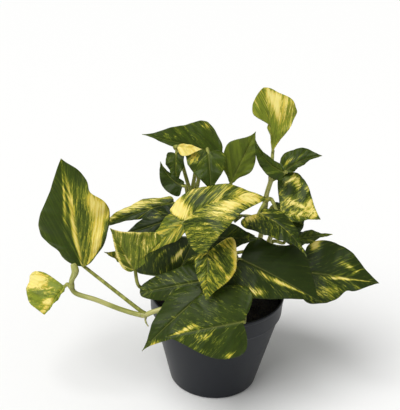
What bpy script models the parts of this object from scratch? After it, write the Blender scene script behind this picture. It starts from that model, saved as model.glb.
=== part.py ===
"""A potted golden pothos: a bushy young plant in a thin plastic nursery pot.

The origin is the middle of the pot's underside, +Z is up and -Y is the front.
Places and sizes are in millimetres and turned into metres by MM.
"""

import math
from dataclasses import dataclass

import bmesh
import bpy
import numpy as np
from mathutils import Vector

MM = 0.001
GAP = 0.35

# The pot
POT_HEIGHT = 90.0
RIM_RADIUS = 60.0
BAND_HEIGHT = 17.5
BODY_TOP_RADIUS = 57.2
BASE_RADIUS = 39.5
WALL = 1.3
LIP_ROUND = 0.9
FOOT_WIDTH = 6.0
FOOT_HEIGHT = 2.0
DRAIN_HOLES = 6
DRAIN_RADIUS = 4.0
POT_STEPS = 36

# The soil
SOIL_TOP = 83.0
SOIL_MOUND = 1.8
SOIL_STEPS = 28
HOLE_DEPTH = 24.0

# Stems and leaves
STEM_RADIUS = 2.3
FOOT_RADIUS = 1.9
NECK_RADIUS = 1.3
RIB_RADIUS = 0.7
BLADE_THICKNESS = 0.8
MIDRIB_STEPS = 48
LOBE_STEPS = 18
LOBE_SPAN = 0.37

# Colours, as sRGB hex
DARK_LEAF = 0x3F5A26
MID_LEAF = 0x55702B
OLIVE_LEAF = 0x7C7F33
GOLD_LEAF = 0xC9B752
CREAM_LEAF = 0xD9CF8C
STEM_GREEN = 0x8F9A55
POT_GREY = 0x33383D
SOIL_BROWN = 0x241D18

# Each stem: the points of its line, from the buried end up. The first two stand straight in the soil.
STEMS = {
    "stem_left_trailing": [
        (-34, -36, 60), (-34, -36, 87), (-37, -40, 92), (-43, -45, 94.5), (-53, -46, 91), (-62, -45, 87),
        (-79, -45, 91), (-101, -43, 98), (-119, -41, 102.5), (-122, -40, 112), (-119, -38, 121),
        (-121, -36, 127.5),
    ],
    "stem_front_left": [(-22, -10, 60), (-22, -10, 87), (-28, -5, 94), (-36, -1, 101), (-44, 2, 105)],
    "stem_front": [
        (-4, -14, 60), (-4, -14, 87), (-7, -9, 104), (-12, -6, 124), (-15, -9, 142), (-17, -17, 154),
    ],
    "stem_front_right": [(18, -22, 60), (18, -22, 87), (20, -19, 100), (18, -14, 118), (13, -12, 134)],
    "stem_right_tall": [
        (24, 4, 60), (24, 4, 87), (29, 2, 106), (33, 1, 128), (36, 2, 150), (37, 4, 168), (38, 7, 181),
        (41, 10, 194), (41, 12, 204),
    ],
    "stem_right_side": [
        (36, 14, 60), (36, 14, 87), (38, 15, 108), (43, 16, 128), (46, 15, 144), (46, 11, 156),
    ],
    "stem_centre": [(4, 8, 60), (4, 8, 87), (5, 8, 112), (3, 6, 140), (0, 1, 164), (3, -3, 184)],
    "stem_upper_left": [
        (-14, 14, 60), (-14, 14, 87), (-19, 14, 112), (-24, 10, 142), (-25, 8, 168), (-21, 10, 188),
    ],
    "stem_back": [(2, 30, 60), (2, 30, 87), (5, 33, 98), (8, 34, 114), (5, 31, 130)],
}

# The trailing stem ends in a thick sheath round its next leaf and has an air root near the pot.
TRAILING_STEM = "stem_left_trailing"
SHEATH_SWELL = 0.55
SHEATH_PLACE = 0.91
AIR_ROOT = [(-58, -46, 87), (-59, -46, 83), (-58, -45.5, 79), (-56.5, -45, 76)]
AIR_ROOT_RADII = (1.0, 0.8, 0.65, 0.4)


@dataclass
class Leaf:
    """One leaf. Pairs are (left, right) of the midrib, seen from above with the tip away.

    Each bump is (side, along, length, share) and widens the outline there; each lift is
    (side, along, length, mm) and raises the margin. Side is -1 for left and 1 for right.
    """

    name: str
    base: tuple
    tip: tuple
    faces: tuple
    half: tuple
    stem: str
    at: float
    colour: int = DARK_LEAF
    via: tuple = None
    lobe: tuple = (0.1, 0.1)
    belly: tuple = (0.6, 0.6)
    full: tuple = (1.0, 1.0)
    point: float = 0.4
    bend: float = 18.0
    sway: float = 0.0
    twist: float = 0.0
    fold: tuple = (10.0, 10.0)
    curl: tuple = (-12.0, -12.0)
    wave: float = 1.5
    waves: float = 3.0
    uneven: float = 0.05
    phase: float = 0.0
    bumps: tuple = ()
    lifts: tuple = ()
    rows: int = 10
    columns: int = 3


LEAVES = [
    Leaf("leaf_left_large", (-115, -24, 119), (-136, 0, 207), (-5, 20), (31, 30), "stem_left_trailing",
         0.42, GOLD_LEAF, lobe=(0, 0), belly=(0.85, 0.95), full=(0.9, 0.9), point=0.1, bend=10,
         sway=-10, fold=(14, 14), curl=(-14, -14), wave=2.2, uneven=0.09, phase=1,
         bumps=((-1, 0.25, 0.11, -0.3), (1, 0.72, 0.07, -0.26), (1, 0.92, 0.06, 0.25),
         (1, 0.12, 0.1, -0.14)), rows=12),
    Leaf("leaf_left_small", (-129, -37, 106), (-144, -50, 85), (-10, 40), (3, 30), "stem_left_trailing",
         0.8, GOLD_LEAF, lobe=(0, 0), belly=(0.6, 0.55), full=(1, 0.6), point=-0.4, bend=25,
         bumps=((1, 0.65, 0.25, 0.14), (1, 0.1, 0.1, -0.12)), rows=9, columns=2),
    Leaf("leaf_left_back_striped", (-42, 20, 163), (-112, 15, 135), (-30, 42), (7, 12),
         "stem_upper_left", 0.76, GOLD_LEAF, lobe=(0.04, 0.04), belly=(0.7, 0.6), point=0.2, bend=25,
         fold=(14, 14), bumps=((1, 0.75, 0.2, 0.2), (1, 0.2, 0.2, -0.35)), columns=2),
    Leaf("leaf_left_inner_dark", (-37, 0, 158), (-84, -12, 144), (-10, 45), (12, 15), "stem_upper_left",
         0.62, lobe=(0, 0), belly=(0.7, 0.55), point=0.3, bend=10, rows=9, columns=2),
    Leaf("leaf_left_drooping", (-69, -42, 128), (-87, -52, 170), (5, 30), (8, 36), "stem_front_left",
         0.8, OLIVE_LEAF, via=(-65, -27, 103), lobe=(0, 0), belly=(0.6, 0.8), point=0.3, bend=-14,
         fold=(16, 16), curl=(-8, -8), bumps=((1, 0.9, 0.08, -0.32), (1, 0.2, 0.18, -0.55))),
    Leaf("leaf_left_band", (-24, -14, 166), (-65, -30, 134), (-15, 50), (9, 15), "stem_upper_left", 0.5,
         OLIVE_LEAF, lobe=(0, 0), belly=(0.7, 0.7), point=0.3, bend=6, rows=9, columns=2),
    Leaf("leaf_left_low_back", (-80, 6, 107), (-101, 0, 121), (-20, 50), (3, 10), "stem_front_left", 1,
         point=0.3, bend=16, rows=8, columns=2),
    Leaf("leaf_centre_left_broad", (-36, -18, 109), (-20, -20, 153), (-5, 35), (38, 25), "stem_front",
         0.45, lobe=(0.42, 0.04), belly=(0.55, 0.6), full=(0.8, 0.8), bend=-6),
    Leaf("leaf_left_low", (-8, -38, 120), (-65, -36, 103), (-10, 38), (12, 16), "stem_front", 0.35,
         lobe=(0, 0), belly=(0.8, 0.7), full=(0.7, 0.7), point=-0.3, bend=14, fold=(4, 4), columns=2),
    Leaf("leaf_centre_cream", (-30, -42, 174), (37, -36, 195), (5, 50), (19, 31), "stem_front", 1,
         CREAM_LEAF, lobe=(0.12, 0.18), belly=(0.5, 0.6), full=(0.9, 0.85), point=0.2, bend=60, sway=40,
         wave=2, rows=12),
    Leaf("leaf_centre_gold", (-9, -52, 153), (-8, -71, 120), (10, 30), (25, 10), "stem_front_right",
         0.7, OLIVE_LEAF, lobe=(0.48, 0.05), belly=(0.62, 0.7), point=0.2, bend=20, fold=(6, 6)),
    Leaf("leaf_front_large", (22, -72, 103), (-39, -80, 90), (0, 36), (28, 32), "stem_front_right",
         0.26, MID_LEAF, via=(23, -50, 101), lobe=(0.06, 0.3), belly=(0.6, 0.75), full=(0.85, 0.85),
         point=0.3, bend=24, fold=(4, 4), curl=(-14, -14), rows=12),
    Leaf("leaf_front_left_dark", (-11, -50, 114), (-59, -70, 68), (-25, 36), (21, 19), "stem_front",
         0.15, lobe=(0.06, 0.06), belly=(0.6, 0.8), bend=24, fold=(4, 4)),
    Leaf("leaf_right_low_dark", (18, -31, 138), (85, -42, 108), (5, 45), (42, 27), "stem_front_right",
         0.92, lobe=(0.04, 0.14), belly=(0.82, 0.56), full=(0.8, 0.9), point=0.3, bend=24, fold=(6, 6),
         bumps=((-1, 0.36, 0.2, -0.4),)),
    Leaf("leaf_right_outer", (77, -4, 114), (142, -2, 106), (5, 45), (33, 26), "stem_right_side", 0.42,
         belly=(0.66, 0.56), full=(0.9, 0.9), point=0.3, bend=20, fold=(8, 8),
         bumps=((1, 0.62, 0.07, -0.25),)),
    Leaf("leaf_right_back_thin", (59, 26, 129), (103, 38, 132), (10, 72), (10, 10), "stem_right_side",
         0.62, lobe=(0, 0), point=0.2, bend=10, rows=8, columns=2),
    Leaf("leaf_centre_low_dark", (-10, -20, 150), (33, -34, 159), (10, 40), (15, 14),
         "stem_front_right", 1, lobe=(0, 0), point=0.2, bend=16, rows=8, columns=2),
    Leaf("leaf_right_hanging_long", (32, -20, 175), (71, -42, 149), (30, 45), (11, 17),
         "stem_right_tall", 0.66, lobe=(0.05, 0.3), point=0.6, bend=40, sway=20, curl=(-14, -14),
         bumps=((-1, 0.5, 0.2, 0.25),), columns=2),
    Leaf("leaf_right_hanging_small", (58, -4, 167), (65, -14, 150), (15, 25), (12, 11),
         "stem_right_side", 1, point=0.2, bend=26, rows=7, columns=2),
    Leaf("leaf_right_striped", (50, -12, 172), (83, -14, 170), (15, 40), (40, 6), "stem_right_tall",
         0.72, CREAM_LEAF, lobe=(0.28, 0), belly=(0.62, 0.6), full=(0.85, 1), bend=16),
    Leaf("leaf_right_upper", (52, 9, 202), (82, 11, 217), (0, 45), (13, 5), "stem_right_tall", 0.92,
         MID_LEAF, lobe=(0.04, 0), belly=(0.7, 0.7), full=(0.9, 0.9), point=0.3, bend=26, sway=35,
         fold=(14, 14), bumps=((-1, 0.8, 0.12, 0.2),), rows=9, columns=2),
    Leaf("leaf_right_bud", (44, 8, 170), (56, 7, 171), (0, 50), (4, 4), "stem_right_tall", 0.6,
         lobe=(0, 0), point=0.2, bend=6, wave=0.3, rows=5, columns=1),
    Leaf("leaf_top_folded", (50, -8, 208), (24, -7, 236), (-25, 30), (9, 5), "stem_right_tall", 0.95,
         lobe=(0.05, 0), belly=(0.5, 0.7), full=(0.8, 1), bend=-8, sway=60, fold=(20, 20), rows=9,
         columns=2),
    Leaf("leaf_top_gold", (41, 14, 218), (30, 26, 269), (5, 20), (12.5, 24), "stem_right_tall", 1,
         GOLD_LEAF, lobe=(0, 0), belly=(2, 1.7), point=-0.3, bend=0, sway=-6, fold=(8, 8),
         curl=(-8, -8), bumps=((-1, 0.34, 0.14, -0.88), (-1, 0.53, 0.08, -0.9), (1, 0.92, 0.08, -0.25),
         (1, 0.6, 0.06, 0.08))),
    Leaf("leaf_top_centre", (7, -6, 195), (25, 3, 238), (5, 30), (16, 12), "stem_centre", 1, MID_LEAF,
         lobe=(0, 0), belly=(0.9, 0.9), point=0.3, bend=10, fold=(12, 12), bumps=((1, 0.15, 0.2, -0.6),
         (-1, 0.1, 0.12, -0.3), (-1, 0.75, 0.15, 0.35))),
    Leaf("leaf_top_left", (-2, 18, 210), (-69, 8, 229), (-10, 48), (10, 29), "stem_upper_left", 1,
         MID_LEAF, lobe=(0.08, 0), belly=(0.6, 0.55), full=(1, 0.9), bend=14, fold=(8, 8),
         bumps=((1, 0.08, 0.14, -0.45),)),
    Leaf("leaf_upper_left_gold", (-38, -8, 226), (-18, -10, 225), (-5, 40), (2.5, 8), "stem_upper_left",
         0.88, GOLD_LEAF, via=(-24, 0, 209), lobe=(0, 0), belly=(0.8, 0.8), point=0.2, bend=6, wave=0.4,
         rows=6, columns=1),
    Leaf("leaf_upper_left_hanging", (-40, 4, 215), (-38, -4, 190), (-20, 20), (8, 9), "stem_upper_left",
         0.94, point=0.3, bend=26, rows=8, columns=2),
    Leaf("leaf_upper_left_outer", (-33, -12, 193), (-52, -6, 211), (-10, 35), (11, 4),
         "stem_upper_left", 0.7, full=(0.8, 1), bend=-40, sway=50, rows=8, columns=2),
    Leaf("leaf_centre_hanging", (-13, -6, 221), (-9, -22, 194), (5, 30), (14, 18), "stem_centre", 0.9,
         lobe=(0.1, 0.25), full=(0.8, 0.8), point=0.3, bend=30, rows=9, columns=2),
    Leaf("leaf_back_left", (-30, 42, 118), (-74, 66, 92), (205, 50), (25, 25), "stem_back", 0.7,
         MID_LEAF, bend=34, rows=9, columns=2),
    Leaf("leaf_back_middle", (6, 54, 120), (10, 96, 80), (180, 40), (26, 26), "stem_back", 0.86,
         OLIVE_LEAF, bend=34, rows=9, columns=2),
    Leaf("leaf_back_right", (42, 42, 116), (86, 62, 88), (150, 50), (25, 25), "stem_back", 0.6, bend=34,
         rows=9, columns=2),
    Leaf("leaf_back_upper", (8, 36, 146), (14, 72, 122), (175, 55), (22, 22), "stem_back", 1, MID_LEAF,
         bend=34, rows=9, columns=2),
    Leaf("leaf_back_upper_left", (-30, 30, 142), (-68, 50, 128), (215, 60), (17, 17), "stem_upper_left",
         0.55, GOLD_LEAF, bend=30, rows=9, columns=2),
    Leaf("leaf_back_upper_right", (54, 28, 156), (86, 50, 146), (150, 60), (15, 15), "stem_right_side",
         0.88, MID_LEAF, bend=30, rows=8, columns=2),
]


def srgb(value):
    """A hex colour as linear red, green, blue and alpha."""
    parts = [(value >> shift & 255) / 255 for shift in (16, 8, 0)]
    linear = [part / 12.92 if part <= 0.04045 else ((part + 0.055) / 1.055) ** 2.4 for part in parts]
    return (*linear, 1.0)


def material(name, colour, roughness):
    made = bpy.data.materials.new(name)
    made.use_nodes = True
    shader = made.node_tree.nodes["Principled BSDF"]
    shader.inputs["Base Color"].default_value = srgb(colour)
    shader.inputs["Roughness"].default_value = roughness
    shader.inputs["Metallic"].default_value = 0.0
    made.diffuse_color = srgb(colour)
    return made


def clear_scene():
    for obj in list(bpy.data.objects):
        bpy.data.objects.remove(obj, do_unlink=True)


def collection(name, hidden=False):
    made = bpy.data.collections.new(name)
    bpy.context.scene.collection.children.link(made)
    made.hide_render = hidden
    return made


def add_object(name, mesh, home, location=(0, 0, 0)):
    obj = bpy.data.objects.new(name, mesh)
    obj.location = Vector(location) * MM
    home.objects.link(obj)
    return obj


def as_helper(obj):
    """A cutter or a piece to be joined: it is seen as wires and never rendered."""
    obj.hide_render = True
    obj.display_type = "WIRE"


def unit(vector):
    vector = np.asarray(vector, float)
    return vector / np.linalg.norm(vector)


def smooth_line(points, steps):
    """Catmull-Rom points through the given ones, with `steps` in each span."""
    knots = np.asarray(points, float)
    knots = np.vstack([2 * knots[0] - knots[1], knots, 2 * knots[-1] - knots[-2]])
    line = []
    for a, b, c, d in zip(knots, knots[1:], knots[2:], knots[3:]):
        for step in range(steps):
            t = step / steps
            line.append(0.5 * (2 * b + (c - a) * t + (2 * a - 5 * b + 4 * c - d) * t**2
                               + (3 * b - a - 3 * c + d) * t**3))
    line.append(knots[-2])
    return np.array(line)


def tube(name, line, radii, home, resolution):
    """A closed mesh tube along the points, from a bevelled curve with its caps welded on."""
    curve = bpy.data.curves.new(name, "CURVE")
    curve.dimensions = "3D"
    curve.bevel_depth = MM
    curve.bevel_resolution = resolution
    curve.use_fill_caps = True
    spline = curve.splines.new("POLY")
    spline.points.add(len(line) - 1)
    for point, place, radius in zip(spline.points, line, radii):
        point.co = (*(np.asarray(place) * MM), 1.0)
        point.radius = radius
    wire = bpy.data.objects.new(name + "_wire", curve)
    home.objects.link(wire)
    graph = bpy.context.evaluated_depsgraph_get()
    mesh = bpy.data.meshes.new_from_object(wire.evaluated_get(graph))
    mesh.name = name
    bm = bmesh.new()
    bm.from_mesh(mesh)
    bmesh.ops.remove_doubles(bm, verts=bm.verts, dist=1e-6)
    bmesh.ops.recalc_face_normals(bm, faces=bm.faces)
    bm.to_mesh(mesh)
    bm.free()
    mesh.shade_smooth()
    mesh.set_sharp_from_angle(angle=math.radians(50))
    made = bpy.data.objects.new(name, mesh)
    made.matrix_world = wire.matrix_world
    home.objects.link(made)
    bpy.data.objects.remove(wire, do_unlink=True)
    return made


def turned(name, profile, steps, home):
    """A ring solid from a closed profile of (radius, height), run down its outer side first."""
    bm = bmesh.new()
    verts = [bm.verts.new((radius * MM, 0, height * MM)) for radius, height in profile]
    for start, end in zip(verts, verts[1:] + verts[:1]):
        if start.co.x > 0 or end.co.x > 0:
            bm.edges.new((start, end))
    mesh = bpy.data.meshes.new(name)
    bm.to_mesh(mesh)
    bm.free()
    obj = add_object(name, mesh, home)
    screw = obj.modifiers.new("turn", "SCREW")
    screw.steps = steps
    screw.render_steps = steps
    screw.use_merge_vertices = True
    screw.merge_threshold = 0.00005
    screw.use_smooth_shade = True
    return obj


def cylinder(name, centre, radius, height, home, sides=20):
    bm = bmesh.new()
    bmesh.ops.create_cone(bm, cap_ends=True, segments=sides, radius1=radius * MM, radius2=radius * MM,
                          depth=height * MM)
    mesh = bpy.data.meshes.new(name)
    bm.to_mesh(mesh)
    bm.free()
    obj = add_object(name, mesh, home, centre)
    as_helper(obj)
    return obj


def cut(obj, cutters):
    """Takes a collection of cutters out of an object."""
    boolean = obj.modifiers.new("holes", "BOOLEAN")
    boolean.operation = "DIFFERENCE"
    boolean.operand_type = "COLLECTION"
    boolean.collection = cutters
    boolean.solver = "EXACT"


def wall_radius(height):
    """The pot's outer radius below the band."""
    return BASE_RADIUS + (BODY_TOP_RADIUS - BASE_RADIUS) * height / (POT_HEIGHT - BAND_HEIGHT)


def build_pot(home):
    """A thin tapered wall with a deeper band round the top, a foot ring and holes in the raised floor."""
    band_bottom = POT_HEIGHT - BAND_HEIGHT
    floor_edge = BASE_RADIUS - FOOT_WIDTH
    profile = [
        (RIM_RADIUS - LIP_ROUND, POT_HEIGHT),
        (RIM_RADIUS, POT_HEIGHT - LIP_ROUND),
        (RIM_RADIUS - 0.9, band_bottom + 0.6),
        (RIM_RADIUS - 1.5, band_bottom),
        (BODY_TOP_RADIUS, band_bottom - 1.0),
        (wall_radius(1.2), 1.2),
        (BASE_RADIUS - 1.2, 0),
        (floor_edge + 1.0, 0),
        (floor_edge, FOOT_HEIGHT),
        (14.0, FOOT_HEIGHT),
        (12.0, 0),
        (0, 0),
        (0, 1.6),
        (11.0, 1.6),
        (13.0, FOOT_HEIGHT + 1.6),
        (BASE_RADIUS - WALL - 1.5, FOOT_HEIGHT + 1.6),
        (wall_radius(5.0) - WALL, 5.0),
        (BODY_TOP_RADIUS - WALL, band_bottom - 0.4),
        (RIM_RADIUS - WALL - 1.4, band_bottom + 1.4),
        (RIM_RADIUS - WALL - 0.5, POT_HEIGHT - LIP_ROUND),
        (RIM_RADIUS - LIP_ROUND - 0.6, POT_HEIGHT),
    ]
    pot = turned("pot", profile, POT_STEPS, home)
    cutters = collection("drain_cutters", hidden=True)
    ring = (floor_edge + 14.0) / 2
    for index in range(DRAIN_HOLES):
        angle = 2 * math.pi * index / DRAIN_HOLES
        centre = (ring * math.cos(angle), ring * math.sin(angle), FOOT_HEIGHT + 1)
        cylinder(f"drain_{index}", centre, DRAIN_RADIUS, 8, cutters, sides=12)
    cut(pot, cutters)
    pot.data.materials.append(material("pot_plastic", POT_GREY, 0.42))
    return pot


def build_soil(home):
    """The filling, clear of the wall, with a low mound and a plain hole for each stem."""
    floor = FOOT_HEIGHT + 1.6 + GAP
    low = wall_radius(7.0) - WALL - GAP - 0.4
    band_bottom = POT_HEIGHT - BAND_HEIGHT
    top = BODY_TOP_RADIUS - WALL - GAP - 0.5
    profile = [
        (0, SOIL_TOP + SOIL_MOUND),
        (16, SOIL_TOP + SOIL_MOUND * 0.9),
        (34, SOIL_TOP + SOIL_MOUND * 0.5),
        (48, SOIL_TOP - 0.4),
        (top + 0.9, SOIL_TOP - 1.2),
        (top, band_bottom - 2.0),
        (low, 7.0),
        (low - 2.5, floor + 0.3),
        (15.0, floor + 0.3),
        (0, floor + 0.3),
    ]
    soil = turned("soil", profile, SOIL_STEPS, home)
    cutters = collection("hole_cutters", hidden=True)
    for name, points in STEMS.items():
        x, y, low = points[0]
        height = SOIL_TOP + 12 - (low - GAP)
        centre = (x, y, low - GAP + height / 2)
        cylinder(name + "_hole", centre, STEM_RADIUS + GAP, height, cutters, sides=12)
    cut(soil, cutters)
    soil.data.materials.append(material("peat", SOIL_BROWN, 0.95))
    return soil


def stem_line(name):
    points = STEMS[name]
    return np.vstack([points[0], smooth_line(points[1:], 3)])


def stem_radius(name, place):
    """The radius at a place from 0 at the foot of the stem to 1 at its end."""
    radius = STEM_RADIUS * (1.0 - 0.12 * place)
    if name == TRAILING_STEM:
        radius = radius * (1 + SHEATH_SWELL * np.exp(-(((place - SHEATH_PLACE) / 0.07) ** 2)))
    return radius


def build_stem(name, home, joined):
    line = stem_line(name)
    radii = [stem_radius(name, index / len(line)) for index in range(len(line))]
    stem = tube(name, line, radii, home, 2)
    if name == TRAILING_STEM:
        root = tube("air_root", AIR_ROOT, AIR_ROOT_RADII, joined, 1)
        as_helper(root)
        join = stem.modifiers.new("air_root", "BOOLEAN")
        join.operation = "UNION"
        join.object = root
        join.solver = "EXACT"
    stem.data.materials.append(material(name + "_skin", STEM_GREEN, 0.5))
    return stem


def sided(pair, across):
    """The left or the right value of a pair, for each point."""
    return np.where(across > 0, pair[1], pair[0])


def facing(azimuth, elevation):
    """A direction: azimuth 0 looks to the front and 90 to the right, elevation 90 straight up."""
    turn, lift = math.radians(azimuth), math.radians(elevation)
    return np.array([math.sin(turn) * math.cos(lift), -math.cos(turn) * math.cos(lift), math.sin(lift)])


def flat_blade(leaf, across, along, length):
    """The blade laid flat: across runs -1..1 from margin to margin, along 0..1 from the notch to the tip."""
    belly, full, lobe = (sided(pair, across) for pair in (leaf.belly, leaf.full, leaf.lobe))
    out = np.abs(across)
    margin_x = np.sin(math.pi * along**belly) ** (full + leaf.point * along)
    margin_x *= 1 + leaf.uneven * np.sin(7.3 * along + 2.1 * leaf.phase + np.where(across < 0, 2.6, 0.4))
    for side, step, span, share in leaf.bumps:
        margin_x *= 1 + np.where(across * side > 0, share, 0.0) * np.exp(-(((along - step) / span) ** 2))
    notch = np.abs(np.sin(math.pi * np.minimum(1.0, along / LOBE_SPAN))) ** 0.6
    margin_y = along**1.25 - lobe * notch
    rib_y = along**1.6
    x = across * sided(leaf.half, across) * margin_x
    y = length * (rib_y + (margin_y - rib_y) * out - 0.1 * out * (1 - out) * np.sin(math.pi * along))
    return x, y


def midrib(leaf):
    """Points, sideways and upward directions along the midrib, from behind the notch to the tip."""
    steps = np.arange(-LOBE_STEPS, MIDRIB_STEPS + 1) / MIDRIB_STEPS
    down = np.radians(leaf.bend * (steps - 0.5))
    aside = np.radians(leaf.sway * (steps - 0.5))
    roll = np.radians(leaf.twist * (steps - 0.5))[:, None]
    ahead = np.stack([np.sin(aside) * np.cos(down), np.cos(aside) * np.cos(down), -np.sin(down)], 1)
    side = np.cross(ahead, (0, 0, 1))
    side /= np.linalg.norm(side, axis=1)[:, None]
    up = np.cross(side, ahead)
    side, up = np.cos(roll) * side + np.sin(roll) * up, np.cos(roll) * up - np.sin(roll) * side
    spans = ahead[1:] + ahead[:-1]
    spans /= np.linalg.norm(spans, axis=1)[:, None] * MIDRIB_STEPS
    points = np.vstack([np.zeros(3), np.cumsum(spans, axis=0)])
    points -= points[LOBE_STEPS]
    base, tip = np.array(leaf.base, float), np.array(leaf.tip, float)
    chord = unit(points[-1])
    length = np.linalg.norm(tip - base) / np.linalg.norm(points[-1])
    local_up = unit(np.array([0, 0, 1.0]) - chord * chord[2])
    real_chord = unit(tip - base)
    look = facing(*leaf.faces)
    real_up = unit(look - real_chord * np.dot(look, real_chord))
    turn = (np.outer(np.cross(real_chord, real_up), np.cross(chord, local_up)) + np.outer(real_chord, chord)
            + np.outer(real_up, local_up))
    return points @ turn.T * length, side @ turn.T, up @ turn.T, length


def blade_points(leaf, across, along):
    """The blade's middle surface, in millimetres from its base."""
    line, side, up, length = midrib(leaf)
    x, y = flat_blade(leaf, across, along, length)
    place = np.clip(y / length * MIDRIB_STEPS + LOBE_STEPS, 0, len(line) - 1)
    index = np.arange(len(line))
    rib, aside, above = (
        np.stack([np.interp(place, index, values[:, axis]) for axis in range(3)], -1)
        for values in (line, side, up)
    )
    share = np.abs(x) / sided(leaf.half, across)
    tilt = np.radians(sided(leaf.fold, across) + sided(leaf.curl, across) * share)
    ripple = np.sin(2 * math.pi * leaf.waves * along + leaf.phase + np.where(across < 0, 1.7, 0.0))
    height = (np.abs(x) * np.sin(tilt)
              + leaf.wave * np.abs(across) ** 1.5 * ripple * np.sqrt(np.sin(math.pi * np.clip(along, 0, 1))))
    for hand, step, span, rise in leaf.lifts:
        near = np.exp(-(((along - step) / span) ** 2)) * np.clip(across * hand, 0, 1) ** 2
        height = height + rise * near
    return rib + aside * (x * np.cos(tilt))[:, None] + above * height[:, None]


def petiole_line(leaf):
    """From beside the stem up to the blade, then a short way under its midrib."""
    stem = stem_line(leaf.stem)
    place = min(leaf.at, 1.0) * (len(stem) - 2)
    index = int(place)
    start = stem[index] + (stem[index + 1] - stem[index]) * (place - index)
    along_stem = unit(stem[index + 1] - stem[index])
    rib, _, up, length = midrib(leaf)
    base = np.array(leaf.base, float)
    towards = np.array(leaf.via or leaf.base, float) - start
    out = unit(towards - along_stem * np.dot(towards, along_stem))
    first = unit(unit(towards) + 0.6 * along_stem)
    first = first if np.dot(first, out) > 0.05 else unit(first + 0.3 * out)
    skew = math.sqrt(max(0.0, 1 - np.dot(first, out) ** 2))
    thick = max(STEM_RADIUS, stem_radius(leaf.stem, place / len(stem)))
    foot = start + out * (thick + GAP + FOOT_RADIUS * skew)
    if leaf.at >= 1:
        first = along_stem
        foot = stem[-1] + along_stem * (GAP + 0.1)
    reach = np.linalg.norm(base - foot)
    under = [base + rib[LOBE_STEPS + k] - up[LOBE_STEPS + k] * 0.5 for k in (0, 5, 12)]
    arrival = unit(under[1] - under[0] + 0.05 * length * unit(base - foot))
    before = under[0] - unit(arrival + 1.2 * up[LOBE_STEPS]) * min(5.0, reach * 0.2)
    lead = [foot] if leaf.at >= 1 else []
    knots = [foot + first * 2.5 * len(lead), foot + first * min(8.0, reach * 0.2 + 3.0 * len(lead))]
    if leaf.via:
        knots.append(np.array(leaf.via, float))
    knots.append(before)
    line = np.vstack(lead + [smooth_line(knots + [under[0]], 2), under[1], under[2]])
    blade_end = len(line) - 3
    radii = [FOOT_RADIUS + (NECK_RADIUS - FOOT_RADIUS) * k / blade_end for k in range(blade_end + 1)]
    return line, radii + [RIB_RADIUS * 1.2, RIB_RADIUS * 0.7]


def build_leaf(leaf, home, joined):
    """A thin blade shaped from a grid and thickened, with its petiole joined on."""
    bm = bmesh.new()
    bmesh.ops.create_grid(bm, x_segments=2 * leaf.columns, y_segments=leaf.rows, size=1.0)
    across = np.array([vert.co.x for vert in bm.verts])
    along = np.array([(vert.co.y + 1) / 2 for vert in bm.verts]).clip(0, 1) ** 0.85
    for vert, place in zip(bm.verts, blade_points(leaf, across, along)):
        vert.co = place * MM
    bmesh.ops.remove_doubles(bm, verts=bm.verts, dist=2e-5)
    bmesh.ops.triangulate(bm, faces=bm.faces)
    mesh = bpy.data.meshes.new(leaf.name)
    bm.to_mesh(mesh)
    bm.free()
    mesh.shade_smooth()
    blade = add_object(leaf.name, mesh, home, leaf.base)
    solid = blade.modifiers.new("thickness", "SOLIDIFY")
    solid.thickness = BLADE_THICKNESS * MM
    solid.offset = 0.0
    line, radii = petiole_line(leaf)
    petiole = tube(leaf.name + "_petiole", line, radii, joined, 1)
    as_helper(petiole)
    join = blade.modifiers.new("petiole", "BOOLEAN")
    join.operation = "UNION"
    join.object = petiole
    # The default solver leaves nothing of several of these thin blades.
    join.solver = "MANIFOLD"
    blade.data.materials.append(material(leaf.name + "_skin", leaf.colour, 0.38))
    return blade


def main():
    clear_scene()
    home = collection("potted_pothos")
    joined = collection("pieces_to_join", hidden=True)
    build_pot(home)
    build_soil(home)
    for name in STEMS:
        build_stem(name, home, joined)
    for leaf in LEAVES:
        build_leaf(leaf, home, joined)


main()
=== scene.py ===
"""The looks of a potted golden pothos, laid out as a Blender add-on.

Sizes and places are millimetres, turned into metres by MM. The origin is the middle of the
pot's underside, +Z is up, -Y is the front and +X the right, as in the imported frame.
"""

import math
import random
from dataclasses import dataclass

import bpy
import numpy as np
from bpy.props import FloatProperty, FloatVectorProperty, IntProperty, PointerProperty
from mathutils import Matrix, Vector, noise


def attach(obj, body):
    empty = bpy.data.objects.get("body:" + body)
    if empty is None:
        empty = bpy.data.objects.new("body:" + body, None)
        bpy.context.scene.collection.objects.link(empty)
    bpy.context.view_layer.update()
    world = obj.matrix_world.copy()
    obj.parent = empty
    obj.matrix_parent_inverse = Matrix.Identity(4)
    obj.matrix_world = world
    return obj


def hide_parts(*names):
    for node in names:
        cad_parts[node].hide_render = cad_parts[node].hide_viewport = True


bl_info = {
    "name": "Potted Golden Pothos",
    "version": (1, 0, 0),
    "blender": (4, 5, 0),
    "location": "3D View > Sidebar > Pothos",
    "description": "A bushy variegated pothos in a thin nursery pot",
    "category": "Add Mesh",
}

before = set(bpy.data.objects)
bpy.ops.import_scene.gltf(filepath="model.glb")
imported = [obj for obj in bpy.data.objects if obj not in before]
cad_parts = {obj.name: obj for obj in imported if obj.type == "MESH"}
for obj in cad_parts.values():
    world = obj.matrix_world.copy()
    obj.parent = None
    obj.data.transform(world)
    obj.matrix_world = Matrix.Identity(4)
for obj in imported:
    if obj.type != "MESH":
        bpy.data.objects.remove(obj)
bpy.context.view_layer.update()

MM = 0.001
WELD = 0.00001
ON_AXIS = 1e-7

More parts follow.
